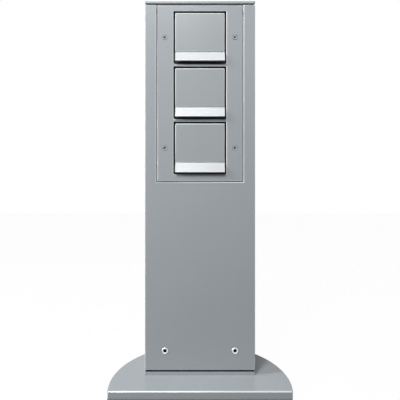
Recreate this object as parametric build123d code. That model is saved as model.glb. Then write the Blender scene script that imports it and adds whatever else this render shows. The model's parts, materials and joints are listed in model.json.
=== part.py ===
"""Garden socket post: an extruded column on a ground plate, with three sprung-lid sockets.

Millimetres, +Z up, front towards -Y. The origin is the middle of the ground plate's underside.
Pieces of a socket unit are drawn about the unit's own middle: X across, Y as the depth behind
the front panel's face, and Z up. place_unit then sets them at the unit's height.
"""
from build123d import *
import math
import os

# General fits and cuts
fit_gap = 0.3
running_gap = 0.05
overrun = 2.0

# Ground plate: a disc cut straight across its front
plate_radius = 112.0
plate_front_reach = 25.0
plate_thickness = 10.0
plate_edge_chamfer = 1.0
plate_corner_round = 1.5
cable_slot_width = 38.0
cable_slot_depth = 26.0
cable_slot_corner = 6.0
anchor_hole_radius = 4.5
anchor_spacing_x = 58.0
anchor_spacing_y = 14.0
anchor_setback = 30.0

# Column: an extruded profile with a flat front and an arched back
column_width = 142.0
column_depth = 59.0
column_wall = 3.0
column_setback = 38.5
column_height = 468.3
column_corner_round = 0.8
rail_reach = 6.7
rail_thickness = 2.0

# Foot collar: a flange on the plate, and a spigot inside the column
collar_height = 4.2
shadow_gap = 2.5
spigot_height = 7.0
spigot_wall = 2.7
spigot_room_shoulder = 25.0
spigot_room_depth = 43.0

# Foot bracket: an angle on the plate, behind the column's front wall
bracket_sheet = 3.0
bracket_clearance = 6.3
bracket_height = 48.0
bracket_foot_depth = 12.0
gusset_spacing = 43.0
gusset_height = 30.0
weld_nut_size = 14.0
weld_nut_length = 5.0

# Set screws that hold the column on the bracket
column_screw_height = 31.3
column_screw_radius = 4.2
column_screw_proud = 0.3
column_screw_socket = 4.0
column_screw_socket_depth = 3.0
column_screw_length = 12.0

# Top cap: a plate over a spigot inside the column
cap_thickness = 3.5
cap_gap = 2.5
cap_edge_chamfer = 0.8
cap_spigot_wall = 12.0
cap_room_setback = 20.0
cap_room_shoulder = 28.0
cap_room_depth = 42.0

# Insert panel in the column's front window
window_seam = 1.2
panel_side = 20.75
panel_foot = 8.8
panel_thickness = 2.0
panel_edge_chamfer = 0.4
opening_size = 67.8
opening_corner_cut = 1.0
unit_bar = 3.2
unit_top_margin = 7.5

# Panel screws and their standoffs
panel_screw_margin = 9.65
panel_screw_radius = 1.9
panel_screw_head_radius = 3.2
panel_screw_socket = 2.2
panel_screw_socket_depth = 1.2
standoff_width = 7.0

# Depths behind the panel
gasket_thickness = 1.0
tray_depth = 6.0
tray_floor = 1.5
ring_sheet = 1.2
frame_sheet = 2.0

# Mounting frame
frame_lap = 2.2
frame_drop = 3.0
frame_tail = 8.0
frame_flange_lap = 0.9
frame_flange_depth = 6.0
frame_opening_margin = 2.5
frame_opening_corner = 6.0

# Terminal block on the frame's lower end
terminal_width = 60.0
terminal_height = 20.0
terminal_depth = 16.0
terminal_poles = 5
terminal_drop = 26.9
terminal_well = 4.0
terminal_entry = 5.0
terminal_foot = 5.0
terminal_divider = 0.8

# Lid
lid_seam = 2.2
lid_thickness = 3.0
lid_top_round = 1.5
lid_edge_chamfer = 0.5
lid_lip_reach = 5.0
lid_lip_thickness = 2.4
lid_finger_height = 6.9
label_rise = 14.0
label_slant = 12.9
label_thickness = 0.4
label_cover_thickness = 1.2

# Hinge at the top of the lid
hinge_drop = 3.0
hinge_setback = 3.6
knuckle_radius = 3.0
knuckle_length = 8.7
pin_radius = 1.0
pin_length = 44.6
ear_spacing = 40.0
ear_width = 4.0
ear_radius = 1.9
ear_root_height = 9.0
ear_arm_lean = 160.0

# Closing spring round the middle of the hinge pin
spring_wire = 0.5
spring_radius = 1.6
spring_length = 13.0
spring_leg_drop = 1.0

# Lid seal: a square ring on the lid's back
seal_inset = 1.6
seal_width = 2.2
seal_height = 1.7

# Socket front: the hinge tray and its round plug well, one moulding
tray_wall = 1.4
rim_height = 2.5
rim_wall = 4.0
well_margin = 13.9
well_wall = 1.7
well_depth = 17.5
well_floor = 2.0
well_rib_width = 5.0
well_rib_height = 1.6
well_rib_drop = 2.4
contact_spacing = 19.0
contact_hole_radius = 2.8

# Contact carrier behind the well
carrier_margin = 1.3
carrier_height = 42.0
carrier_depth = 17.5
carrier_corner_cut = 4.0
carrier_entry = 6.0
carrier_entry_depth = 4.0
carrier_entry_drop = 13.0
channel_width = 6.4
channel_height = 8.0

# Contacts: a folded strip with two sprung leaves, one each side of the plug's pin
contact_sheet = 0.6
contact_gap = 4.4
contact_height = 6.0
contact_length = 12.6
contact_base = 1.2

# Earth clip
clip_sheet = 0.8
clip_width = 5.0
clip_inset = 1.4
clip_bulge = 1.8
clip_tip_depth = 2.4
clip_bulge_depth = 5.2
clip_bulge_run = 3.2

# Mounting ring
ring_clearance = 1.0
ring_corner_cut = 9.0
ring_hole_margin = 0.8
ring_leg_width = 10.0
ring_leg_length = 26.0
ring_lug_margin = 4.5
ring_lug_width = 8.0
ring_lug_length = 4.0

# Places worked out from the sizes above
plate_depth = plate_radius + plate_front_reach
plate_front = -plate_depth / 2
plate_centre = plate_front + plate_front_reach
column_front = plate_front + column_setback
column_back_radius = ((column_width / 2) ** 2 + column_depth**2) / (2 * column_depth)
column_centre = column_front + column_depth - column_back_radius
column_bottom = plate_thickness + collar_height + shadow_gap
column_top = column_bottom + column_height
inner_front = column_front + column_wall
rail_opening = column_width - 2 * (column_wall + rail_reach)
spigot_width = rail_opening - 2 * fit_gap
bracket_width = spigot_width - 2 * (spigot_wall + bracket_clearance)
column_screw_spacing = bracket_width - weld_nut_size
anchor_centre = column_front + anchor_setback
unit_pitch = opening_size + unit_bar
unit_names = ("upper", "middle", "lower")
unit_heights = [
    column_top - unit_top_margin - opening_size / 2 - unit_pitch * index
    for index in range(len(unit_names))
]
panel_width = opening_size + 2 * panel_side
panel_screw_spacing = panel_width - 2 * panel_screw_margin
panel_top = column_top - fit_gap
panel_bottom = unit_heights[-1] - opening_size / 2 - panel_foot
window_width = panel_width + 2 * window_seam
window_bottom = panel_bottom - window_seam
tray_front = panel_thickness + gasket_thickness
ring_front = tray_front + tray_depth
frame_front = ring_front + ring_sheet
frame_back = frame_front + frame_sheet
rail_front = frame_front - fit_gap - rail_thickness
frame_width = rail_opening + 2 * frame_lap
frame_flange_width = rail_opening + 2 * frame_flange_lap
frame_top = column_top - frame_drop
rail_top = frame_top - frame_sheet
terminal_level = panel_bottom - terminal_drop
frame_bottom = terminal_level - terminal_height / 2 - frame_tail
lid_size = opening_size - 2 * lid_seam
well_radius = opening_size / 2 - well_margin
clip_spacing = 2 * (well_radius - clip_inset)
rim_size = 2 * (well_radius + rim_wall)
seal_size = rim_size - 2 * seal_inset
ring_size = unit_pitch - 2 * ring_clearance
ring_lug_spacing = ring_size - 2 * ring_lug_margin
ring_hole = 2 * (well_radius + well_wall + ring_hole_margin)
carrier_width = 2 * (well_radius + well_wall + carrier_margin)
frame_opening_width = carrier_width + 2 * frame_opening_margin
floor_front = ring_front - tray_floor
axis_height = lid_size / 2 - hinge_drop
well_mouth = floor_front - rim_height
well_floor_front = well_mouth + well_depth
carrier_front = well_floor_front + well_floor
carrier_back = carrier_front + carrier_depth


def cut_disc(radius, centre_y, front_y):
    """A disc's outline cut straight across its front."""
    half = math.sqrt(radius**2 - (front_y - centre_y) ** 2)
    arc = ThreePointArc((half, front_y), (0, centre_y + radius), (-half, front_y))
    return make_face([arc, Line((-half, front_y), (half, front_y))])


def column_outline(inset):
    """The column's outline, drawn in on every side by inset."""
    return cut_disc(column_back_radius - inset, column_centre, column_front + inset)


def upright(sketch, low, high):
    """Raise an outline drawn in plan from one height to another."""
    return Pos(0, 0, low) * extrude(sketch, amount=high - low)


def slab(sketch, near, far):
    """Extrude an outline drawn face on from one depth to another."""
    return extrude(Plane.XZ.offset(-far) * sketch, amount=far - near)


def across(sketch, width, middle=0):
    """Extrude an outline drawn in depth and height across, half to each side of the middle."""
    return Pos(middle, 0, 0) * extrude(Plane.YZ * sketch, amount=width / 2, both=True)


def disc(radius, x=0, y=0):
    return Pos(x, y) * Circle(radius)


def octagon(apothem):
    """An octagon with a flat on each side, at the top and at the bottom."""
    return RegularPolygon(apothem, 8, major_radius=False, rotation=180 / 8)


def block(x_range, y_range, z_range):
    """A box between two limits each way."""
    size = [high - low for low, high in (x_range, y_range, z_range)]
    middle = [(high + low) / 2 for low, high in (x_range, y_range, z_range)]
    return Pos(*middle) * Box(*size)


def pair(spacing):
    return (-spacing / 2, spacing / 2)


def corner(outline, x, y):
    """The outline's corner nearest to a point."""
    return outline.vertices().sort_by(lambda vertex: (vertex.X - x) ** 2 + (vertex.Y - y) ** 2)[0]


def anchor_places():
    return [
        (x, anchor_centre + y)
        for x in pair(anchor_spacing_x)
        for y in pair(anchor_spacing_y)
    ]


def ground_plate():
    outline = cut_disc(plate_radius, plate_centre, plate_front)
    front_corners = outline.vertices().group_by(Axis.Y)[0]
    plate = upright(fillet(front_corners, plate_corner_round), 0, plate_thickness)
    plate = chamfer(plate.faces().sort_by(Axis.Z)[-1].edges(), plate_edge_chamfer)
    slot = chamfer(Rectangle(cable_slot_width, cable_slot_depth).vertices(), cable_slot_corner)
    through = (-overrun, plate_thickness + overrun)
    plate -= upright(Pos(0, anchor_centre) * slot, *through)
    for x, y in anchor_places():
        plate -= upright(disc(anchor_hole_radius, x, y), *through)
    return plate


def spigot_outline():
    """Plan of a spigot that fits inside the column, between its rails."""
    return column_outline(column_wall + fit_gap) & Rectangle(spigot_width, 2 * column_width)


def half_width(y, inset):
    """Half the width between the column's arched sides at a depth, drawn in by inset."""
    return math.sqrt((column_back_radius - inset) ** 2 - (y - column_centre) ** 2)


def spigot_room(wall, front, shoulder, back):
    """Plan of the room inside a spigot, which narrows with the column towards the back."""
    inset = column_wall + fit_gap + wall
    right = [(min(spigot_width / 2 - wall, half_width(front, inset)), front)]
    right += [(half_width(y, inset), y) for y in (shoulder, back)]
    left = [(-x, y) for x, y in reversed(right)]
    return make_face(Polyline(*right, *left, close=True))


def foot_collar():
    flange_top = plate_thickness + collar_height
    collar = upright(rounded_column(), plate_thickness, flange_top)
    spigot_top = flange_top + spigot_height
    collar += upright(spigot_outline(), flange_top, spigot_top)
    shoulder = inner_front + spigot_room_shoulder
    room = spigot_room(spigot_wall, inner_front, shoulder, inner_front + spigot_room_depth)
    return collar - upright(room, 0, spigot_top + overrun)


def foot_bracket():
    """An angle with two gussets, and a welded nut behind each hole."""
    foot_top = plate_thickness + bracket_sheet
    top = foot_top + bracket_height
    back = inner_front + bracket_foot_depth
    upright_back = inner_front + bracket_sheet
    corners = [
        (inner_front, plate_thickness),
        (back, plate_thickness),
        (back, foot_top),
        (upright_back, foot_top),
        (upright_back, top),
        (inner_front, top),
    ]
    bracket = across(make_face(Polyline(*corners, close=True)), bracket_width)
    ribs = [(upright_back, foot_top), (back, foot_top), (upright_back, foot_top + gusset_height)]
    for x in pair(gusset_spacing):
        bracket += across(make_face(Polyline(*ribs, close=True)), bracket_sheet, x)
    level = plate_thickness + column_screw_height
    for x in pair(column_screw_spacing):
        nut = Pos(x, level) * Rectangle(weld_nut_size, weld_nut_size)
        bracket += slab(nut, upright_back, upright_back + weld_nut_length)
        bore = disc(column_screw_radius + running_gap, x, level)
        bracket -= slab(bore, inner_front - overrun, upright_back + weld_nut_length + overrun)
    return bracket


def rounded_column():
    outline = column_outline(0)
    return fillet(outline.vertices().group_by(Axis.Y)[0], column_corner_round)


def rail_band(opening, near, far):
    """Plan of both sides of the column outside an opening, between two depths."""
    side = Rectangle(column_width, far - near)
    middle = (opening + column_width) / 2
    depth = column_front + (near + far) / 2
    return Pos(-middle, depth) * side + Pos(middle, depth) * side


def column_tube():
    """The profile: its wall, and two pairs of inner rails that the mounting frame slides in."""
    inside = column_outline(column_wall)
    tube = upright(rounded_column() - inside, column_bottom, column_top)
    for near in (rail_front, frame_back + fit_gap):
        rails = inside & rail_band(rail_opening, near, near + rail_thickness)
        tube += upright(rails, column_bottom, rail_top)
    half = window_width / 2
    front = (column_front - overrun, inner_front)
    tube -= block((-half, half), front, (window_bottom, column_top + overrun))
    level = plate_thickness + column_screw_height
    for x in pair(column_screw_spacing):
        hole = disc(column_screw_radius + fit_gap, x, level)
        tube -= slab(hole, column_front - overrun, inner_front + overrun)
    return tube


def column_screws():
    """Headless screws with a hexagon socket, from the bracket's nuts through the column's wall."""
    screw = slab(disc(column_screw_radius), -column_screw_proud, column_screw_length)
    hexagon = RegularPolygon(column_screw_socket / 2, 6, major_radius=False)
    screw -= slab(hexagon, -column_screw_proud - overrun, column_screw_socket_depth)
    level = plate_thickness + column_screw_height
    return [Pos(x, column_front, level) * screw for x in pair(column_screw_spacing)]


def top_cap():
    """A plate over a spigot, which stands on the mounting frame's flange inside the column."""
    plate_low = column_top + cap_gap
    cap = upright(rounded_column(), plate_low, plate_low + cap_thickness)
    cap = chamfer(cap.faces().sort_by(Axis.Z)[-1].edges(), cap_edge_chamfer)
    cap += upright(column_outline(column_wall + fit_gap), frame_top, plate_low)
    depths = (cap_room_setback, cap_room_shoulder, cap_room_depth)
    room = spigot_room(cap_spigot_wall, *[column_front + depth for depth in depths])
    return cap - upright(room, frame_top - overrun, plate_low)


def panel_screw_places():
    return [(x, z) for x in pair(panel_screw_spacing) for z in (unit_heights[0], unit_heights[-1])]


def insert_panel():
    front = (column_front, column_front + panel_thickness)
    half = panel_width / 2
    panel = block((-half, half), front, (panel_bottom, panel_top))
    panel = chamfer(panel.faces().sort_by(Axis.Y)[0].edges(), panel_edge_chamfer)
    opening = chamfer(Rectangle(opening_size, opening_size).vertices(), opening_corner_cut)
    through = (column_front - overrun, column_front + panel_thickness + overrun)
    for z in unit_heights:
        panel -= slab(Pos(0, z) * opening, *through)
    for x, z in panel_screw_places():
        panel -= Pos(x, column_front, z) * screw_cone(fit_gap)
    return panel


def screw_cone(gap):
    """A panel screw's sunk head, as deep as the panel, made larger all round by a gap."""
    cone = Cone(panel_screw_radius + gap, panel_screw_head_radius + gap, panel_thickness)
    return Pos(0, panel_thickness / 2, 0) * Rot(90, 0, 0) * cone


def panel_screws():
    """Sunk screw heads with a hexagon socket; their threads belong to the spacers behind."""
    hexagon = RegularPolygon(panel_screw_socket / 2, 6, major_radius=False)
    head = screw_cone(0) - slab(hexagon, -overrun, panel_screw_socket_depth)
    return [Pos(x, column_front, z) * head for x, z in panel_screw_places()]


def panel_standoffs():
    """Hexagon spacers between the mounting frame and the panel, each with its screw's thread."""
    hexagon = RegularPolygon(standoff_width / 2, 6, major_radius=False)
    spacer = slab(hexagon, panel_thickness, frame_front)
    return [Pos(x, column_front, z) * spacer for x, z in panel_screw_places()]


def mounting_frame():
    """A sheet in the column's rails, with a flange at its top that stands on the back rails."""
    front = (column_front + frame_front, column_front + frame_back)
    half = frame_width / 2
    frame = block((-half, half), front, (frame_bottom, rail_top))
    half = frame_flange_width / 2
    flange = (front[0], front[0] + frame_flange_depth)
    frame += block((-half, half), flange, (rail_top, frame_top))
    through = (front[0] - overrun, front[1] + overrun)
    opening = Rectangle(frame_opening_width, carrier_width)
    opening = chamfer(opening.vertices(), frame_opening_corner)
    slot = Rectangle(ring_sheet + 2 * fit_gap, ring_lug_width + 2 * fit_gap)
    for z in unit_heights:
        frame -= slab(Pos(0, z) * opening, *through)
        for x in pair(ring_lug_spacing):
            frame -= slab(Pos(x, z) * slot, *through)
    return frame


def terminal_block():
    """A row of poles on the frame's back, each with a screw well and a wire entry below."""
    front = column_front + frame_back
    back = front + terminal_depth
    half = terminal_width / 2
    low = terminal_level - terminal_height / 2
    high = terminal_level + terminal_height / 2
    body = block((-half, half), (front, back), (low, high))
    foot_half = half + terminal_foot
    body += block((-foot_half, foot_half), (front, front + frame_sheet), (low, high))
    pole = terminal_width / terminal_poles
    middle = (front + back) / 2
    for index in range(terminal_poles):
        x = (index - (terminal_poles - 1) / 2) * pole
        well = Pos(x, terminal_level) * Rectangle(terminal_well, terminal_well)
        body -= slab(well, middle, back + overrun)
        entry = Pos(x, middle) * Rectangle(terminal_entry, terminal_entry)
        body -= upright(entry, low - overrun, low + terminal_height / 4)
    for index in range(1, terminal_poles):
        divider = Pos(index * pole - half, back) * Rectangle(terminal_divider, terminal_divider)
        body -= upright(divider, low - overrun, high + overrun)
    return body


def lid_profile():
    """The lid seen from its side: a plate that slants out to a lip at its foot."""
    half = lid_size / 2
    slant_top = label_rise - half
    outline = make_face(
        Polyline(
            (0, half),
            (0, slant_top),
            (-lid_lip_reach, -half),
            (lid_lip_thickness - lid_lip_reach, -half),
            (lid_thickness, lid_finger_height - half),
            (lid_thickness, half),
            close=True,
        )
    )
    outline = chamfer(corner(outline, -lid_lip_reach, -half), lid_lip_thickness / 4)
    return fillet(corner(outline, 0, half), lid_top_round)


def label_recess(near, far):
    """A band along the lid's slant, between two depths under its face."""
    half = lid_size / 2
    slant_top = label_rise - half
    length = math.hypot(lid_lip_reach, half + slant_top)
    down = Vector(-lid_lip_reach / length, -(half + slant_top) / length)
    inward = Vector(-down.Y, down.X)
    start = Vector(0, slant_top)
    end = start + down * label_slant
    corners = [start + inward * near, end + inward * near, end + inward * far, start + inward * far]
    return make_face(Polyline(*[(point.X, point.Y) for point in corners], close=True))


def lid():
    plate = across(lid_profile(), lid_size)
    sides = plate.faces().filter_by(Axis.X)
    front_edges = [
        edge
        for side in sides
        for edge in side.edges()
        if edge.center().Y < lid_top_round / 2 and edge.center().Z > -lid_size / 2
    ]
    plate = chamfer(front_edges, lid_edge_chamfer)
    axis = (hinge_setback, axis_height)
    knuckle = disc(knuckle_radius, *axis)
    inner_side = (ear_spacing - ear_width) / 2 - fit_gap
    body = plate
    for side in (-1, 1):
        middle = side * (inner_side - knuckle_length / 2)
        body += across(knuckle, knuckle_length, middle)
    notch = Pos(*axis) * octagon(ear_radius + fit_gap)
    for x in pair(ear_spacing):
        body -= across(notch, ear_width + 2 * fit_gap, x)
    body -= across(disc(pin_radius + running_gap, *axis), pin_length)
    spring_room = octagon(spring_radius / math.cos(math.pi / 8) + fit_gap)
    body -= across(Pos(*axis) * spring_room, spring_length + 2 * fit_gap)
    body -= across(label_recess(-overrun, label_thickness + label_cover_thickness), lid_size)
    return body


def lid_label():
    cover = label_cover_thickness
    return across(label_recess(cover, cover + label_thickness), lid_size)


def label_cover():
    cover = across(label_recess(0, label_cover_thickness), lid_size)
    rims = [
        edge
        for side in cover.faces().filter_by(Axis.X)
        for edge in side.edges().sort_by(Axis.Y)
        if edge.length > label_slant / 2
    ]
    outer = sorted(rims, key=lambda edge: edge.center().Y)[:2]
    return chamfer(outer, label_thickness)


def hinge_pin():
    return across(disc(pin_radius, hinge_setback, axis_height), pin_length)


def lid_spring():
    """The torsion spring, its coils drawn as one sleeve, with its legs to the tray's floor."""
    ring = octagon(spring_radius) - octagon(pin_radius + 2 * running_gap)
    coils = across(Pos(hinge_setback, axis_height) * ring, spring_length)
    level = axis_height - spring_leg_drop
    for x in pair(spring_length - spring_wire):
        leg = Pos(x, level) * Rectangle(spring_wire, spring_wire)
        coils += slab(leg, hinge_setback + pin_radius, floor_front)
    return coils


def lid_seal():
    ring = Rectangle(seal_size, seal_size)
    ring -= Rectangle(seal_size - 2 * seal_width, seal_size - 2 * seal_width)
    return slab(ring, lid_thickness, lid_thickness + seal_height)


def ear():
    """One of the tray's two ears, seen from its side, with its arm down to the tray's floor."""
    lean = math.radians(ear_arm_lean)
    high = Vector(ear_radius * math.cos(lean), ear_radius * math.sin(lean))
    floor = hinge_setback - floor_front
    run = (floor - high.X) / -math.sin(lean)
    low = high.Y + run * math.cos(lean)
    front = hinge_setback - lid_thickness - 2 * running_gap - fit_gap
    points = [
        (high.X, high.Y),
        (floor, low),
        (floor, -ear_root_height),
        (front, -ear_radius - pin_radius),
        (front, 0),
    ]
    arm = make_face(
        Polyline(*[(hinge_setback - f, axis_height + u) for f, u in points], close=True)
    )
    return arm + Pos(hinge_setback, axis_height) * octagon(ear_radius)


def unit_gasket():
    outer = opening_size + 2 * tray_wall
    ring = Rectangle(outer, outer) - Rectangle(opening_size, opening_size)
    return slab(ring, panel_thickness, tray_front)


def socket_front():
    """The moulding of one unit: a square tray with two hinge ears, a rim and the plug well."""
    outer = opening_size + 2 * tray_wall
    shell = slab(Rectangle(outer, outer), tray_front, ring_front)
    shell -= slab(Rectangle(opening_size, opening_size), tray_front - overrun, floor_front)
    shell += slab(Rectangle(rim_size, rim_size), well_mouth, ring_front)
    around = octagon(well_radius + well_wall)
    shell += slab(around, floor_front, carrier_front)
    shell -= slab(disc(well_radius), well_mouth - overrun, well_floor_front)
    half = well_rib_width / 2
    near = well_radius - well_rib_height
    far = well_radius + well_wall / 2
    rib_depth = (well_mouth + well_rib_drop, well_floor_front)
    for side in (-1, 1):
        shell += block(sorted((side * near, side * far)), rib_depth, (-half, half))
    for x in pair(ear_spacing):
        shell += across(ear(), ear_width, x)
    bore = disc(pin_radius + running_gap, hinge_setback, axis_height)
    shell -= across(bore, ear_spacing + ear_width + overrun)
    floor = (well_floor_front - overrun / 2, carrier_front + overrun)
    for x in pair(contact_spacing):
        shell -= slab(Pos(x, 0) * octagon(contact_hole_radius), *floor)
    half = clip_width / 2 + fit_gap
    room = clip_sheet / 2 + fit_gap
    for z in pair(clip_spacing):
        shell -= block((-half, half), floor, (z - room, z + room))
    return shell


def strip(points, sheet):
    """The outline of a strip with sharp bends, seen from its side, about the line of some points."""
    line = [Vector(*point) for point in points]
    runs = [(end - start).normalized() for start, end in zip(line, line[1:])]
    normals = [Vector(-run.Y, run.X) for run in runs]
    near = []
    far = []
    for point, before, after in zip(line, normals[:1] + normals, normals + normals[-1:]):
        bisector = (before + after).normalized()
        reach = bisector * (sheet / 2 / bisector.dot(after))
        near.append(point + reach)
        far.insert(0, point - reach)
    return make_face(Polyline(*[(point.X, point.Y) for point in near + far], close=True))


def earth_clip():
    """A strap behind the well's floor, with a sprung blade up each side of the well."""
    reach = clip_spacing / 2
    strap = carrier_front + clip_sheet / 2
    half_path = [
        (strap, reach),
        (well_mouth + clip_bulge_depth + clip_bulge_run, reach),
        (well_mouth + clip_bulge_depth, reach - clip_bulge),
        (well_mouth + clip_tip_depth, reach - clip_sheet / 2),
    ]
    points = [(depth, -z) for depth, z in reversed(half_path)] + half_path
    return across(strip(points, clip_sheet), clip_width)


def contact_carrier():
    """The block behind the well, with its contact channels and the wire entries at its back."""
    outer = Rectangle(carrier_width, carrier_height)
    body = slab(chamfer(outer.vertices(), carrier_corner_cut), carrier_front, carrier_back)
    half = clip_width / 2 + fit_gap
    reach = clip_spacing / 2 + clip_sheet / 2 + fit_gap
    groove = (carrier_front - overrun, carrier_front + clip_sheet + running_gap)
    body -= block((-half, half), groove, (-reach, reach))
    channel = Rectangle(channel_width, channel_height)
    entry = Rectangle(carrier_entry, carrier_entry)
    for x in pair(contact_spacing):
        body -= slab(Pos(x, 0) * channel, carrier_front - overrun, channel_end())
        for z in pair(2 * carrier_entry_drop):
            body -= slab(Pos(x, z) * entry, carrier_back - carrier_entry_depth, carrier_back + overrun)
    return body


def channel_end():
    return carrier_back - carrier_entry_depth - contact_sheet


def contacts():
    """A unit's two live contacts, each with two leaves that close on the plug's pin."""
    end = channel_end()
    leaf_x = (contact_gap + contact_sheet) / 2
    leaf = Rectangle(contact_sheet, contact_height)
    base = Rectangle(contact_gap + 2 * contact_sheet, contact_height)
    contact = slab(base, end - contact_base, end)
    for x in pair(2 * leaf_x):
        contact += slab(Pos(x, 0) * leaf, end - contact_length, end)
    return [Pos(x, 0, 0) * contact for x in pair(contact_spacing)]


def mounting_ring():
    """A square sheet ring with cut corners, two legs beside the carrier and two lugs."""
    outline = chamfer(Rectangle(ring_size, ring_size).vertices(), ring_corner_cut)
    ring = slab(outline - octagon(ring_hole / 2), ring_front, frame_front)
    leg_x = carrier_width / 2 + fit_gap + ring_sheet / 2
    leg = Rectangle(ring_sheet, ring_leg_width)
    lug = Rectangle(ring_sheet, ring_lug_width)
    for x in pair(2 * leg_x):
        ring += slab(Pos(x, 0) * leg, ring_front, ring_front + ring_leg_length)
    for x in pair(ring_lug_spacing):
        ring += slab(Pos(x, 0) * lug, ring_front, frame_front + ring_lug_length)
    return ring


def place_unit(piece, height):
    """Set a piece at a unit's height behind the panel's face."""
    return Pos(0, column_front, height) * piece


def save(name, piece):
    """Write one node: a piece, or a list of alike pieces that are one node."""
    shape = Compound(children=piece) if isinstance(piece, list) else piece
    export_step(shape, f"parts/{name}.step")


def main():
    os.makedirs("parts", exist_ok=True)
    save("ground_plate", ground_plate())
    save("foot_collar", foot_collar())
    save("foot_bracket", foot_bracket())
    save("column_tube", column_tube())
    save("column_screws", column_screws())
    save("top_cap", top_cap())
    save("insert_panel", insert_panel())
    save("panel_screws", panel_screws())
    save("panel_standoffs", panel_standoffs())
    save("mounting_frame", mounting_frame())
    save("terminal_block", terminal_block())
    unit_pieces = {
        "lid": lid(),
        "lid_label": lid_label(),
        "label_cover": label_cover(),
        "lid_seal": lid_seal(),
        "lid_spring": lid_spring(),
        "hinge_pin": hinge_pin(),
        "socket_front": socket_front(),
        "unit_gasket": unit_gasket(),
        "earth_clip": earth_clip(),
        "contact_carrier": contact_carrier(),
        "mounting_ring": mounting_ring(),
    }
    for unit, height in zip(unit_names, unit_heights):
        for name, piece in unit_pieces.items():
            save(f"{unit}_{name}", place_unit(piece, height))
        save(f"{unit}_contacts", [place_unit(each, height) for each in contacts()])


main()
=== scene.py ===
"""The looks of a garden socket post: finishes, soft edges, small fasteners, lamps and camera."""

import json
import math

import bmesh
import bpy
from bpy.props import FloatProperty, FloatVectorProperty, PointerProperty
from bpy.types import Operator, Panel, PropertyGroup
from mathutils import Matrix, Vector


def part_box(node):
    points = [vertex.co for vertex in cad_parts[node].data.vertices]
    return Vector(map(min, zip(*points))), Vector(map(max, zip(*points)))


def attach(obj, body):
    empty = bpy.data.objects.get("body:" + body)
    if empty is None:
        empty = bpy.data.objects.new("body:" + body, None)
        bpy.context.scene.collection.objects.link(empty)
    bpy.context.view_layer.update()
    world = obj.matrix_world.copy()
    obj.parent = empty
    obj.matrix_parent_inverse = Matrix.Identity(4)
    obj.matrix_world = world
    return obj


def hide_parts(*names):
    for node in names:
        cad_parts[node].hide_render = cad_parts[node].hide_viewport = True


bl_info = {
    "name": "Garden socket post",
    "version": (1, 0, 0),
    "blender": (4, 5, 0),
    "location": "3D View > Sidebar > Post",
    "description": "Dresses a garden socket post with its finishes, fasteners, lamps and camera",
    "category": "Object",
}

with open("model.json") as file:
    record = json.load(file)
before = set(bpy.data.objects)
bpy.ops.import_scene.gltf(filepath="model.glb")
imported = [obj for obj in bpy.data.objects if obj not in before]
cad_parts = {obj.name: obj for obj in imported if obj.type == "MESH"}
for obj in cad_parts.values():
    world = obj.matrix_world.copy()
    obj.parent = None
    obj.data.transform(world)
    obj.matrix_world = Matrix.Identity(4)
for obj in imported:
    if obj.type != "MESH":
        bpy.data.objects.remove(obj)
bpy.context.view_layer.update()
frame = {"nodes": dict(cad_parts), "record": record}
UNITS = ("upper", "middle", "lower")

# The finish that dresses each material slot
FINISH_NAMES = {
    "coated_metal": "silver_coat",
    "coated_screws": "silver_coat",
    "lid_plastic": "silver_moulding",
    "label_card": "white_card",
    "clear_cover": "clear_strip",
    "inner_plastic": "dark_moulding",
    "terminal_plastic": "pale_moulding",
    "seal_rubber": "black_rubber",
    "stainless_steel": "bright_steel",
    "zinc_plated_steel": "plated_sheet",
    "contact_brass": "plain_brass",
}

# Sizes that the solids have, in metres
SHADOW_GAP = 0.0025  # under the column, down to the collar's strip
PANEL_CHAMFER = 0.0004  # along the panel's front edges
SCREW_RADIUS = {"panel_screws": 0.0032, "column_screws": 0.0042}
SPRING_RADIUS = 0.0016
SPRING_LEG_DROP = 0.001

# Lengths that tell a solid's edges apart, in metres
PLANE_SLACK = 0.00002
MERGE_DISTANCE = 0.000002
# Where the painted highlight goes along the rounded front edges
HIGHLIGHT_DEPTH = 0.0015  # how far behind the front face its rounded edges end
LIP_DEPTH = 0.0065  # the same on a lid, whose lip stands forward
PLATE_EDGE_LEVEL = 0.004  # the plate's upper edges lie above this
WINDOW_EDGE = 0.05  # less than the shortest edge of the column's window
PANEL_EDGE = 0.09  # between an opening's edge and the panel's
LID_EDGE = 0.03  # less than a lid's long edges
LID_FACE_DEPTH = 0.0012  # from the column's front back to a lid's own edges
OPENING_SHARE = 1.55  # the panel's width over a little more than an opening's

FLAT_ANGLE = math.radians(0.4)
SHARP_ANGLE = math.radians(28)
SMOOTH_ANGLE = math.radians(32)
# The faces that get the painted highlight: how far forward they look and how large they are
HIGHLIGHT_TILT = (0.1, 0.985)  # how far forward a rounded edge's faces look, as a cosine
HIGHLIGHT_AREA = (0.0000005, 0.0004)  # how large they are, in square metres
FINE_ROUND, SMALL_ROUND = 4, 2  # segments

# Each lamp's name, place, target and size, in metres
LAMPS = (
    ("key", (-0.5, -1.0, 1.3), (0, 0, 0.25), (0.25, 0.25)),
    ("left", (-1.1, -0.3, 0.68), (0, 0, 0.4), (0.25, 0.8)),
    ("top", (-0.25, -0.77, 1.18), (0, -0.05, 0.2), (0.6, 0.45)),
)
FLOOR_REACH = 6
FLOOR_GREY = (0.12, 0.12, 0.12)
WHITE = (1, 1, 1)
FLOOR_WHITE_SHARE = 0.975  # how much of the seen floor is white; the rest takes the shadow


def colour(name, text, default):
    return FloatVectorProperty(
        name=name, description=text, subtype="COLOR", size=3, min=0, max=1, default=default
    )


def length(name, text, default):
    return FloatProperty(name=name, description=text, unit="LENGTH", precision=5, default=default)


def power(name, text, default):
    return FloatProperty(name=name, description=text, unit="POWER", default=default)


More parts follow.
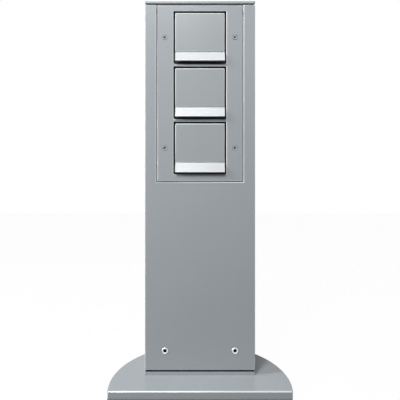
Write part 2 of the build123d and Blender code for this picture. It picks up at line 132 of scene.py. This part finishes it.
class PostSizes(PropertyGroup):
    """Sizes of what the solids leave to the looks."""

    edge_round: length("Edge round", "Round on the column's, cap's and plate's edges", 0.0005)
    # The plate's lower chamfer holds the black band that paints the shadow line at its foot
    plate_chamfer: length("Plate chamfer", "Chamfer on the plate's lower edge", 0.0012)
    window_round: length("Window round", "Round on the edges of the column's window", 0.00085)
    panel_round: length("Panel round", "Round on the edges of the panel and its openings", 0.0008)
    lid_round: length("Lid round", "Round on the lids' edges", 0.0003)
    panel_screw: length("Panel screw", "Radius of a panel screw's head", 0.003)
    panel_socket: length("Panel screw socket", "Across the flats of its hexagon", 0.0021)
    foot_screw: length("Foot screw", "Radius of a foot screw", 0.0042)
    foot_socket: length("Foot screw socket", "Across the flats of its hexagon", 0.0042)
    # The black seals paint shade in the gap under the column and along the plate's lower edge
    seal_height: length("Foot seal", "Height of the seal under the column", 0.0016)
    seal_inset: length("Foot seal inset", "How far it lies behind the column's face", 0.0007)
    seal_width: length("Seal width", "How far in the seals reach", 0.0022)
    well_screw: length("Well screw", "Radius of the screw in a plug well's middle", 0.0029)
    spring_wire: length("Spring wire", "Thickness of a lid spring's wire", 0.0005)
    strip_gap: length("Strip gap", "From a clear strip's back to its label", 0.00008)


class PostColours(PropertyGroup):
    """Colours of the post's finishes."""

    metal: colour("Coated metal", "Silver-grey coat of the metal pieces", (0.39, 0.425, 0.447))
    lid: colour("Lids", "Silver-grey plastic of the lids", (0.37, 0.405, 0.415))
    # A painted highlight: rounded edges get this paler colour so that they look lit
    edge: colour("Edges", "The paler coat on rounded edges", (0.74, 0.77, 0.78))
    label: colour("Labels", "White card of the labels", (0.63, 0.66, 0.68))
    tray: colour("Trays", "Dark grey plastic of the socket fronts", (0.035, 0.038, 0.042))
    steel: colour("Stainless steel", "Bright screws and pins", (0.8, 0.8, 0.79))


class PostLight(PropertyGroup):
    """The lamps and the camera."""

    key_power: power("Key lamp", "Upper left lamp", 7.0)
    left_power: power("Left lamp", "Upright softbox", 11.4)
    top_power: power("Top lamp", "Softbox overhead", 8.2)
    sky: FloatProperty(name="Sky", description="Even light from all round", default=0.08)
    lens: FloatProperty(name="Lens", description="Focal length in millimetres", default=31.86)
    distance: length("Camera distance", "From the camera to the post's middle", 0.4842)
    height: length("Camera height", "Above the ground", 0.2349)


class Number:
    """A number that varies over a surface: sums on it add the nodes that work it out."""

    def __init__(self, nodes, socket):
        self.nodes = nodes
        self.socket = socket

    def sum(self, operation, other):
        values = {0: self, 1: other}
        node = self.nodes.node("ShaderNodeMath", {"operation": operation}, values)
        return Number(self.nodes, node.outputs[0])

    def __add__(self, other):
        return self.sum("ADD", other)

    def __mul__(self, other):
        return self.sum("MULTIPLY", other)

    __radd__ = __add__
    __rmul__ = __mul__


class Nodes:
    """The nodes of a material or of the world."""

    def __init__(self, tree):
        self.tree = tree

    def put(self, socket, value):
        """Link a socket, or set its value."""
        if isinstance(value, Number):
            value = value.socket
        if isinstance(value, bpy.types.NodeSocket):
            self.tree.links.new(value, socket)
        elif socket.type == "RGBA" and len(value) == 3:
            socket.default_value = (*value, 1)
        else:
            socket.default_value = value

    def node(self, kind, settings=None, values=None):
        """Add a node: its settings first, then its sockets."""
        node = self.tree.nodes.new(kind)
        for name, value in (settings or {}).items():
            setattr(node, name, value)
        for socket, value in (values or {}).items():
            self.put(node.inputs[socket], value)
        return node

    def mix(self, share, first, second):
        """A colour between two, by a share."""
        node = self.node("ShaderNodeMix", {"data_type": "RGBA"}, {"Factor": share})
        sockets = [socket for socket in node.inputs if socket.type == "RGBA"]
        self.put(sockets[0], first)
        self.put(sockets[1], second)
        return [socket for socket in node.outputs if socket.type == "RGBA"][0]


class Finish(Nodes):
    """A material with its shader, and short ways to add what feeds it."""

    def __init__(self, name, **settings):
        self.material = bpy.data.materials.new(name)
        self.material.use_nodes = True
        super().__init__(self.material.node_tree)
        self.shader = self.tree.nodes["Principled BSDF"]
        for setting, value in settings.items():
            self.feed(setting.replace("_", " ").title().replace("Ior", "IOR"), value)

    def feed(self, name, value):
        self.put(self.shader.inputs[name], value)

    def noise(self, scale, detail=2.0, roughness=0.5, stretch=(1, 1, 1)):
        """Even noise from 0 to 1 on the post's own coordinates, with so many cells a metre."""
        coordinates = self.node("ShaderNodeTexCoord").outputs["Object"]
        mapping = self.node("ShaderNodeMapping", values={"Vector": coordinates, "Scale": stretch})
        values = {"Vector": mapping.outputs[0], "Scale": scale, "Detail": detail}
        values["Roughness"] = roughness
        return Number(self, self.node("ShaderNodeTexNoise", values=values).outputs["Fac"])

    def shade(self, share, base, darkest, lightest):
        """Let the colour vary between two shares of itself."""
        self.feed("Base Color", self.mix(share, tint(base, darkest), tint(base, lightest)))

    def grain(self, height, depth, strength):
        """Surface grain from a height, in metres deep."""
        values = {"Height": height, "Distance": depth, "Strength": strength}
        self.feed("Normal", self.node("ShaderNodeBump", values=values).outputs[0])


def tint(base, factor):
    return tuple(min(1.0, part * factor) for part in base)


def coated_metal(name, base, gloss):
    """Satin powder coat: a fine orange-peel grain and a faint cloudiness."""
    finish = Finish(name, specular_ior_level=gloss)
    finish.shade(finish.noise(scale=14, detail=3), base, 0.975, 1.025)
    peel = finish.noise(scale=1500, detail=2, roughness=0.6)
    finish.feed("Roughness", peel * 0.08 + 0.18)
    finish.grain(peel, depth=0.00006, strength=0.35)


def moulded_plastic(name, base, rough, depth):
    """Moulded plastic with a fine spark-eroded texture."""
    finish = Finish(name, coat_weight=0.05, coat_roughness=0.12)
    finish.shade(finish.noise(scale=25, detail=2), base, 0.97, 1.03)
    speckle = finish.noise(scale=2600, detail=1)
    finish.feed("Roughness", speckle * 0.1 + rough)
    finish.grain(speckle, depth, strength=0.3)


def label_card(name, base):
    """Smooth card with a hardly visible fibre."""
    finish = Finish(name, roughness=0.55, coat_weight=0.3, coat_roughness=0.12)
    fibre = finish.noise(scale=900, detail=3, roughness=0.6, stretch=(0.25, 1, 1))
    finish.shade(fibre, base, 0.985, 1.01)


def clear_strip(name):
    """Clear moulding over a label: faintly blue, glossy, and open to the light."""
    finish = Finish(name, base_color=(0.95, 0.97, 1.0), ior=1.3)
    smudge = finish.noise(scale=60)
    finish.feed("Roughness", smudge * 0.05 + 0.3)
    finish.feed("Alpha", smudge * 0.02 + 0.04)


def soft_rubber(name):
    """Black rubber with a faint bloom."""
    finish = Finish(name, base_color=(0.012, 0.012, 0.013))
    bloom = finish.noise(scale=300, detail=3)
    finish.feed("Roughness", bloom * 0.2 + 0.6)
    finish.grain(bloom, depth=0.00003, strength=0.3)


def turned_metal(name, base, rough):
    """Bright metal with faint turning marks."""
    finish = Finish(name, metallic=1.0)
    mark = finish.noise(scale=1200, stretch=(1, 1, 0.2))
    finish.shade(mark, base, 0.9, 1.0)
    finish.feed("Roughness", mark * 0.12 + rough)


def finish_of(slot):
    """The finish that dresses a material slot."""
    material = bpy.data.materials.get(FINISH_NAMES[slot])
    if material is None:
        raise RuntimeError(f"make the finishes first: {slot} has none")
    return material


def new_piece(name, mesh_maker, materials, body, replaced=()):
    """Make a mesh into a piece that rides on a body."""
    shape = bmesh.new()
    mesh_maker(shape)
    if not shape.faces:
        raise RuntimeError(f"{name} has no faces")
    mesh = bpy.data.meshes.new(name)
    shape.to_mesh(mesh)
    shape.free()
    for material in materials:
        mesh.materials.append(material)
    piece = bpy.data.objects.new(name, mesh)
    bpy.context.scene.collection.objects.link(piece)
    mesh.shade_smooth()
    mesh.set_sharp_from_angle(angle=SMOOTH_ANGLE)
    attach(piece, body)
    if replaced:
        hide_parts(*replaced)
    return piece


def soft_edges(shape, width, segments, chosen=None):
    """Round the sharp edges, or those of them that are chosen."""
    edges = [
        edge
        for edge in shape.edges
        if len(edge.link_faces) == 2
        and edge.calc_face_angle(0) > SHARP_ANGLE
        and (chosen is None or chosen(edge))
    ]
    bmesh.ops.bevel(
        shape,
        geom=edges,
        offset=width,
        offset_type="OFFSET",
        affect="EDGES",
        segments=segments,
        profile=0.5,
        material=-1,
        clamp_overlap=chosen is None,
    )


def on_plane(axis, level):
    """Chooses the edges that lie in a plane square to an axis."""
    return lambda edge: all(abs(vert.co[axis] - level) < PLANE_SLACK for vert in edge.verts)


def front_edges(front, shortest=0.0, level=None):
    """Chooses the edges of the front face that have a length, or lie on a level too."""

    def chosen(edge):
        fits = level is None or on_plane(2, level)(edge)
        return fits and on_plane(1, front)(edge) and edge.calc_length() > shortest

    return chosen


def join_flats(shape):
    """Merge doubles, and join the triangles of each flat face."""
    bmesh.ops.remove_doubles(shape, verts=shape.verts, dist=MERGE_DISTANCE)
    bmesh.ops.dissolve_limit(
        shape, angle_limit=FLAT_ANGLE, verts=shape.verts, edges=shape.edges
    )


def merged_copy(shape, node):
    """Start a shape from a solid's mesh, with its loose triangles joined into flat faces."""
    shape.from_mesh(frame["nodes"][node].data)
    join_flats(shape)


def sharpened(shape, chamfer):
    """Take the chamfer along the front face's edges off, to make room for a wider round."""
    front = min(vert.co.y for vert in shape.verts)
    moves = {}
    for edge in shape.edges:
        outer, inner = sorted(edge.verts, key=lambda vert: vert.co.y)
        deep = inner.co.y - outer.co.y
        if abs(outer.co.y - front) < PLANE_SLACK and abs(deep - chamfer) < PLANE_SLACK:
            if edge.calc_length() < chamfer * 2:
                moves[outer] = Vector((inner.co.x, front, inner.co.z))
    for vert, place in moves.items():
        vert.co = place
    join_flats(shape)


def paint_edge_highlights(shape, front, depth, above):
    """Paint a highlight: give the long narrow faces along the front's edges the second, paler
    finish.
    """
    shape.normal_update()
    for face in shape.faces:
        middle = face.calc_center_median()
        near = middle.y < front + depth and middle.z > above
        tilted = HIGHLIGHT_TILT[0] < -face.normal.y < HIGHLIGHT_TILT[1]
        narrow = HIGHLIGHT_AREA[0] < face.calc_area() < HIGHLIGHT_AREA[1]
        if near and tilted and narrow:
            face.material_index = 1


def softened(
    name,
    node,
    slot,
    rounds,
    body="post",
    chamfer=0.0,
    highlight_finish=None,
    depth=HIGHLIGHT_DEPTH,
    above=0.0,
):
    """A piece with the solid's shape, whose edges get the given rounds one after another."""
    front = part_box(node)[0].y

    def make(shape):
        merged_copy(shape, node)
        if chamfer:
            sharpened(shape, chamfer)
        for width, segments, chosen in rounds:
            soft_edges(shape, width, segments, chosen)
        # The paler finish paints a highlight along the front's rounded edges
        if highlight_finish:
            paint_edge_highlights(shape, front, depth, above)

    finishes = [finish_of(slot)]
    if highlight_finish:
        finishes.append(bpy.data.materials[highlight_finish])
    piece = new_piece(name, make, finishes, body, [node])
    weights = piece.modifiers.new("flat faces stay flat", "WEIGHTED_NORMAL")
    weights.keep_sharp = True


class POST_OT_finishes(Operator):
    """Make the finishes and dress the inner pieces with them"""

    bl_idname = "post.finishes"
    bl_label = "Finishes"

    def execute(self, context):
        shades = context.scene.post_colours
        coated_metal("silver_coat", shades.metal, 0.2)
        # Paler finishes that paint highlights on rounded edges
        coated_metal("worn_coat", shades.edge, 0.6)
        moulded_plastic("silver_moulding", shades.lid, 0.22, 0.00003)
        moulded_plastic("worn_moulding", shades.edge, 0.22, 0.00003)
        moulded_plastic("dark_moulding", shades.tray, 0.45, 0.00005)
        moulded_plastic("pale_moulding", (0.55, 0.55, 0.52), 0.4, 0.00003)
        label_card("white_card", shades.label)
        clear_strip("clear_strip")
        soft_rubber("black_rubber")
        turned_metal("bright_steel", shades.steel, 0.25)
        turned_metal("plated_sheet", (0.6, 0.62, 0.65), 0.35)
        turned_metal("plain_brass", (0.75, 0.55, 0.22), 0.28)
        # Near-black painted shade for the screws' hexagon sockets
        turned_metal("dark_socket", (0.03, 0.03, 0.032), 0.5)
        slots = {part["node"]: part["material_slot"] for part in frame["record"]["subparts"]}
        for name, node in frame["nodes"].items():
            node.data.materials.clear()
            node.data.materials.append(finish_of(slots[name]))
        return {"FINISHED"}


class POST_OT_column(Operator):
    """Make the column, its cap, its foot and the ground plate"""

    bl_idname = "post.column"
    bl_label = "Column and foot"

    def execute(self, context):
        sizes = context.scene.post_sizes
        low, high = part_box("column_tube")
        lower_end = front_edges(low.y, level=low.z)
        upper_ends = front_edges(low.y, level=high.z)

        def window(edge):
            """The window's edges: the long ones that are on neither end."""
            ends = lower_end(edge) or upper_ends(edge)
            return front_edges(low.y, shortest=WINDOW_EDGE)(edge) and not ends

        softened(
            "column",
            "column_tube",
            "coated_metal",
            [
                (sizes.window_round, FINE_ROUND, window),
                (sizes.edge_round, SMALL_ROUND, lower_end),
                (sizes.edge_round, SMALL_ROUND, upper_ends),
            ],
            highlight_finish="worn_coat",
        )
        small = (sizes.edge_round / 2, SMALL_ROUND, None)
        softened("cap", "top_cap", "coated_metal", [small], highlight_finish="worn_coat")
        softened("collar", "foot_collar", "coated_metal", [small])
        plate_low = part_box("ground_plate")[0]
        softened(
            "plate",
            "ground_plate",
            "coated_metal",
            [(sizes.plate_chamfer, 1, on_plane(2, plate_low.z)), small],
            highlight_finish="worn_coat",
            above=plate_low.z + PLATE_EDGE_LEVEL,
        )
        return {"FINISHED"}


def arched_band(shape, radius, centre, front, level, width, height):
    """A flat band along a disc's rim and the straight cut across its front."""
    outline = bmesh.ops.create_circle(shape, cap_ends=True, radius=radius, segments=180)
    bmesh.ops.translate(shape, verts=outline["verts"], vec=(0, centre, level))
    cut = bmesh.ops.bisect_plane(
        shape,
        geom=shape.verts[:] + shape.edges[:] + shape.faces[:],
        plane_co=(0, front, level),
        plane_no=(0, -1, 0),
        clear_outer=True,
    )
    if not cut["geom_cut"]:
        raise RuntimeError("the band's front isn't cut")
    bmesh.ops.inset_region(
        shape, faces=shape.faces[:], thickness=width, use_boundary=True, use_even_offset=True
    )
    inner = max(shape.faces, key=lambda face: len(face.verts))
    bmesh.ops.delete(shape, geom=[inner], context="FACES")
    band = bmesh.ops.extrude_face_region(shape, geom=shape.faces[:])["geom"]
    upper = [item for item in band if isinstance(item, bmesh.types.BMVert)]
    bmesh.ops.translate(shape, verts=upper, vec=(0, 0, height))
    bmesh.ops.recalc_face_normals(shape, faces=shape.faces)


class POST_OT_seals(Operator):
    """Make two black bands that paint shade: one in the gap under the column, and one under the
    plate's edge
    """

    bl_idname = "post.seals"
    bl_label = "Seals"

    def execute(self, context):
        sizes = context.scene.post_sizes
        low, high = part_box("column_tube")
        half, depth = (high.x - low.x) / 2, high.y - low.y
        arch = (half**2 + depth**2) / (2 * depth)
        gap = low.z - SHADOW_GAP
        # A black band in the gap under the column paints the gap's shade
        self.seal("foot_seal", arch, (low, high), gap, sizes.seal_inset, sizes.seal_height)
        # A black band under the plate's chamfered edge paints the shadow line along its foot
        low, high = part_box("ground_plate")
        disc = (high.x - low.x) / 2
        inset = sizes.edge_round / 3
        self.seal("plate_seal", disc, (low, high), low.z, inset, sizes.plate_chamfer)
        return {"FINISHED"}

    def seal(self, name, radius, box, level, inset, height):
        """A band that lies by an inset inside a disc cut straight across its front."""
        low, high = box
        width = bpy.context.scene.post_sizes.seal_width

        def make(shape):
            centre = high.y - radius
            arched_band(shape, radius - inset, centre, low.y + inset, level, width, height)

        # Black rubber here paints shade
        new_piece(name, make, [finish_of("seal_rubber")], "post")


class POST_OT_panel(Operator):
    """Make the insert panel"""

    bl_idname = "post.insert_panel"
    bl_label = "Insert panel"

    def execute(self, context):
        width = context.scene.post_sizes.panel_round
        low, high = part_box("insert_panel")

        def openings(edge):
            """The front edges of the three lid openings."""
            middle = (edge.verts[0].co + edge.verts[1].co) / 2
            return on_plane(1, low.y)(edge) and abs(middle.x) < high.x / OPENING_SHARE

        sides = front_edges(low.y, shortest=PANEL_EDGE)
        softened(
            "panel",
            "insert_panel",
            "coated_metal",
            [(width, FINE_ROUND, openings), (width * 0.9, FINE_ROUND, sides)],
            chamfer=PANEL_CHAMFER,
            highlight_finish="worn_coat",
        )
        return {"FINISHED"}


class POST_OT_lids(Operator):
    """Make the lids and the clear strips over their labels"""

    bl_idname = "post.lids"
    bl_label = "Lids"

    def execute(self, context):
        sizes = context.scene.post_sizes
        width = sizes.lid_round
        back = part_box("column_tube")[0].y + LID_FACE_DEPTH

        def long_edges(edge):
            """The edges along the lid's front."""
            return edge.calc_length() > LID_EDGE and max(vert.co.y for vert in edge.verts) < back

        for unit in UNITS:
            body = f"{unit}_flap"
            softened(
                f"{unit}_lid_shell",
                f"{unit}_lid",
                "lid_plastic",
                [(width, SMALL_ROUND, long_edges)],
                body,
                # The paler moulding paints a highlight along the lid's edges
                highlight_finish="worn_moulding",
                depth=LIP_DEPTH,
            )

            def strip(shape, node=f"{unit}_label_cover"):
                """The strip lies a hair off the label, so that the light gets between them."""
                merged_copy(shape, node)
                face = max(shape.faces, key=lambda face: face.normal.y)
                bmesh.ops.translate(shape, verts=face.verts, vec=face.normal * -sizes.strip_gap)
                soft_edges(shape, width / 3, 1)

            cover = f"{unit}_label_cover"
            finishes = [finish_of("clear_cover")]
            new_piece(f"{unit}_strip", strip, finishes, body, [cover])
        return {"FINISHED"}


def step(shape, edges, factor=1.0, rise=0.0):
    """Draw a loop of edges on: a copy of it, scaled about Z and raised, joined to it by faces."""
    made = bmesh.ops.extrude_edge_only(shape, edges=edges)["geom"]
    verts = [item for item in made if isinstance(item, bmesh.types.BMVert)]
    bmesh.ops.scale(shape, verts=verts, vec=(factor, factor, 1))
    bmesh.ops.translate(shape, verts=verts, vec=(0, 0, rise))
    return [
        item
        for item in made
        if isinstance(item, bmesh.types.BMEdge) and all(vert in verts for vert in item.verts)
    ]


def edges_between(verts):
    """The edges that meet at some vertices, each once."""
    return list({edge for vert in verts for edge in vert.link_edges})


def face_forward(shape, middle):
    """Turn a shape that faces +Z to face -Y, and put it in its place."""
    bmesh.ops.recalc_face_normals(shape, faces=shape.faces)
    turn = Matrix.Translation(middle) @ Matrix.Rotation(math.radians(90), 4, "X")
    bmesh.ops.transform(shape, matrix=turn, verts=shape.verts)


def socket_screw(shape, radius, flats, dish, deep, middle):
    """A screw's head with a dished hexagon socket; the socket's faces get its second finish, a
    near-black painted shade.
    """
    chamfer = radius * 0.07
    socket_taper, socket_depth = 0.98, deep * 0.6
    back = bmesh.ops.create_circle(shape, cap_ends=True, radius=radius, segments=42)
    bmesh.ops.translate(shape, verts=back["verts"], vec=(0, 0, -deep - chamfer))
    loop = step(shape, shape.edges[:], rise=deep)
    loop = step(shape, loop, (radius - chamfer) / radius, chamfer)
    corner = flats / 2 / math.cos(math.pi / 6)
    loop = step(shape, loop, (corner + dish) / (radius - chamfer))
    hexagon = bmesh.ops.create_circle(shape, radius=corner, segments=6)
    bmesh.ops.translate(shape, verts=hexagon["verts"], vec=(0, 0, -dish * 0.9))
    flat_edges = edges_between(hexagon["verts"])
    bmesh.ops.bridge_loops(shape, edges=loop + flat_edges)
    head = set(shape.faces)
    bottom = step(shape, flat_edges, socket_taper, -socket_depth)
    bmesh.ops.contextual_create(shape, geom=bottom)
    for face in shape.faces:
        face.material_index = 0 if face in head else 1
    face_forward(shape, middle)


class POST_OT_screws(Operator):
    """Make the screws of the panel and of the column's foot"""

    bl_idname = "post.screws"
    bl_label = "Screws"

    def execute(self, context):
        sizes = context.scene.post_sizes
        self.make_all(
            "panel_screws",
            "coated_screws",
            (sizes.panel_screw, sizes.panel_socket),
            dish=0.0007,
            deep=0.0014,
        )
        self.make_all(
            "column_screws",
            "stainless_steel",
            (sizes.foot_screw, sizes.foot_socket),
            dish=0.0003,
            deep=0.005,
        )
        return {"FINISHED"}

    def make_all(self, node, slot, widths, dish, deep):
        """Make the screws of a node, each at its corner of the node's box."""
        low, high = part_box(node)
        edge = SCREW_RADIUS[node]
        levels = [low.z + edge]
        if high.z - low.z > 4 * edge:
            levels.append(high.z - edge)
        for side, x in (("left", low.x + edge), ("right", high.x - edge)):
            for level, z in enumerate(levels):

                def make(shape, x=x, z=z):
                    socket_screw(shape, *widths, dish, deep, (x, low.y, z))

                # The second finish paints the socket's shade
                finishes = [finish_of(slot), bpy.data.materials["dark_socket"]]
                new_piece(f"{node}_{side}_{level}", make, finishes, "post", [node])


def slotted_screw(shape, radius, middle):
    """A raised round head with a slot across it."""
    head = ((1.0, 0.25), (0.9, 0.13), (0.7, 0.07))  # scale and rise of each step, by the radius
    half_slot, slot_depth, slot_turn = radius * 0.13, radius * 0.17, 0.5
    bmesh.ops.create_circle(shape, cap_ends=True, radius=radius, segments=32)
    loop = shape.edges[:]
    for factor, rise in head:
        loop = step(shape, loop, factor, radius * rise)
    bmesh.ops.contextual_create(shape, geom=loop)
    turn = Matrix.Rotation(slot_turn, 3, "Z")
    bmesh.ops.rotate(shape, verts=shape.verts, cent=(0, 0, 0), matrix=turn)
    for side in (-1, 1):
        bmesh.ops.bisect_plane(
            shape,
            geom=shape.verts[:] + shape.edges[:] + shape.faces[:],
            plane_co=(side * half_slot, 0, 0),
            plane_no=(1, 0, 0),
        )
    slot = [
        face
        for face in shape.faces
        if abs(face.calc_center_median().x) < half_slot
        and face.calc_center_median().z > radius * 0.2
    ]
    sunk = bmesh.ops.extrude_face_region(shape, geom=slot)["geom"]
    bmesh.ops.delete(shape, geom=slot, context="FACES")
    floor = [item for item in sunk if isinstance(item, bmesh.types.BMVert)]
    bmesh.ops.translate(shape, verts=floor, vec=(0, 0, -slot_depth))
    face_forward(shape, middle)


def spring_coil(shape, wire, box):
    """The torsion spring's turns round the pin, with a leg back to the tray's floor at each end."""
    low, high = box
    radius = SPRING_RADIUS - wire
    axis_y, axis_z = low.y + SPRING_RADIUS, (low.z + high.z) / 2
    turns, parts, sides = 24, 14, 8
    ring = bmesh.ops.create_circle(shape, radius=wire, segments=sides)["verts"]
    bmesh.ops.translate(shape, verts=ring, vec=(radius, 0, 0))
    pitch = (high.x - low.x - 2 * wire) / turns
    bmesh.ops.spin(
        shape,
        geom=ring + edges_between(ring),
        cent=(0, 0, 0),
        axis=(0, 1, 0),
        dvec=(0, pitch / parts, 0),
        angle=math.tau * turns,
        steps=turns * parts,
        use_merge=False,
    )
    bmesh.ops.holes_fill(shape, edges=shape.edges, sides=sides)
    across = Matrix.Rotation(math.radians(-90), 4, "Z")
    place = Matrix.Translation((low.x + wire, axis_y, axis_z))
    bmesh.ops.transform(shape, matrix=place @ across, verts=shape.verts)
    reach = high.y - axis_y
    for x in (low.x + wire, high.x - wire):
        leg = bmesh.ops.create_cone(
            shape, cap_ends=True, segments=sides, radius1=wire, radius2=wire, depth=reach
        )
        turn = Matrix.Rotation(math.radians(90), 4, "X")
        spot = Matrix.Translation((x, axis_y + reach / 2, axis_z - SPRING_LEG_DROP))
        bmesh.ops.transform(shape, matrix=spot @ turn, verts=leg["verts"])
    bmesh.ops.recalc_face_normals(shape, faces=shape.faces)


class POST_OT_wells(Operator):
    """Make what an open lid shows: the trays, their middle screws and the lid springs"""

    bl_idname = "post.wells"
    bl_label = "Wells and springs"

    def execute(self, context):
        sizes = context.scene.post_sizes
        tray_round, screw_depth = 0.0002, 0.002
        for unit in UNITS:
            front, sleeve = f"{unit}_socket_front", f"{unit}_lid_spring"
            softened(f"{unit}_tray", front, "inner_plastic", [(tray_round, 1, None)])
            low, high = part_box(front)
            middle = (0, high.y - screw_depth, (low.z + high.z) / 2)

            def screw(shape, middle=middle):
                slotted_screw(shape, sizes.well_screw, middle)

            slot = "zinc_plated_steel"
            new_piece(f"{unit}_well_screw", screw, [finish_of(slot)], "post")

            def coil(shape, sleeve=sleeve):
                spring_coil(shape, sizes.spring_wire / 2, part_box(sleeve))

            slot = "stainless_steel"
            new_piece(f"{unit}_spring_coil", coil, [finish_of(slot)], "post", [sleeve])
        return {"FINISHED"}


def seen_directly(nodes):
    """1 where the camera, a gloss or a clear piece sees the background, and 0 where it lights."""
    path = nodes.node("ShaderNodeLightPath").outputs
    seen = Number(nodes, path["Is Camera Ray"])
    for ray in ("Is Glossy Ray", "Is Transmission Ray"):
        seen = seen.sum("MAXIMUM", Number(nodes, path[ray]))
    return seen


class POST_OT_stage(Operator):
    """Set the floor, the lamps and the camera"""

    bl_idname = "post.stage"
    bl_label = "Stage"

    def execute(self, context):
        light = context.scene.post_light
        self.floor()
        self.sky(context.scene, light.sky)
        for name, place, target, size in LAMPS:
            self.lamp(name, place, target, size, getattr(light, f"{name}_power"))
        lens = bpy.data.cameras.new("camera")
        lens.lens = light.lens
        lens.sensor_width = 36
        lens.clip_start = 0.01
        camera = bpy.data.objects.new("camera", lens)
        camera.location = (0, -light.distance, light.height)
        camera.rotation_euler = (math.radians(90), 0, 0)
        context.scene.collection.objects.link(camera)
        context.scene.camera = camera
        context.scene.view_settings.view_transform = "Standard"
        return {"FINISHED"}

    def floor(self):
        """A grey floor that looks white where it is seen, and still takes the shadow."""
        shape = bmesh.new()
        bmesh.ops.create_grid(shape, x_segments=1, y_segments=1, size=FLOOR_REACH)
        mesh = bpy.data.meshes.new("floor")
        shape.to_mesh(mesh)
        shape.free()
        floor = bpy.data.objects.new("floor", mesh)
        bpy.context.scene.collection.objects.link(floor)
        finish = Finish("pale_floor", roughness=0.9)
        seen = seen_directly(finish)
        finish.feed("Base Color", finish.mix(seen, FLOOR_GREY, WHITE))
        white = finish.node("ShaderNodeEmission", values={"Color": WHITE, "Strength": 1.0})
        share = seen * FLOOR_WHITE_SHARE
        values = {0: share, 1: finish.shader.outputs[0], 2: white.outputs[0]}
        mixed = finish.node("ShaderNodeMixShader", values=values)
        finish.put(finish.tree.nodes["Material Output"].inputs["Surface"], mixed.outputs[0])
        mesh.materials.append(finish.material)

    def sky(self, scene, strength):
        """A white world that lights only faintly."""
        world = bpy.data.worlds.new("sky")
        world.use_nodes = True
        scene.world = world
        nodes = Nodes(world.node_tree)
        back = nodes.tree.nodes["Background"]
        nodes.put(back.inputs["Color"], WHITE)
        nodes.put(back.inputs["Strength"], seen_directly(nodes) * (1 - strength) + strength)

    def lamp(self, name, place, target, size, energy):
        """An area lamp that looks at its target."""
        data = bpy.data.lights.new(name, "AREA")
        data.shape = "RECTANGLE"
        data.size, data.size_y = size
        data.energy = energy
        lamp = bpy.data.objects.new(name, data)
        lamp.location = place
        aim = Vector(target) - Vector(place)
        lamp.rotation_euler = aim.to_track_quat("-Z", "Y").to_euler()
        bpy.context.scene.collection.objects.link(lamp)


class POST_PT_panel(Panel):
    """The post's sizes, colours and steps"""

    bl_label = "Garden socket post"
    bl_space_type = "VIEW_3D"
    bl_region_type = "UI"
    bl_category = "Post"

    def draw(self, context):
        for group in GROUPS:
            settings = getattr(context.scene, group)
            for name in settings.__annotations__:
                self.layout.prop(settings, name)
        for item in STEPS:
            self.layout.operator(item.bl_idname)


GROUPS = {"post_sizes": PostSizes, "post_colours": PostColours, "post_light": PostLight}
STEPS = (
    POST_OT_finishes,
    POST_OT_column,
    POST_OT_seals,
    POST_OT_panel,
    POST_OT_lids,
    POST_OT_screws,
    POST_OT_wells,
    POST_OT_stage,
)


def register():
    for item in (*GROUPS.values(), *STEPS, POST_PT_panel):
        bpy.utils.register_class(item)
    for name, group in GROUPS.items():
        setattr(bpy.types.Scene, name, PointerProperty(type=group))


def unregister():
    for name in GROUPS:
        delattr(bpy.types.Scene, name)
    for item in reversed((*GROUPS.values(), *STEPS, POST_PT_panel)):
        bpy.utils.unregister_class(item)


def main():
    register()
    bpy.ops.post.finishes()
    bpy.ops.post.column()
    bpy.ops.post.seals()
    bpy.ops.post.insert_panel()
    bpy.ops.post.lids()
    bpy.ops.post.screws()
    bpy.ops.post.wells()
    bpy.ops.post.stage()


if __name__ == "__main__":
    main()
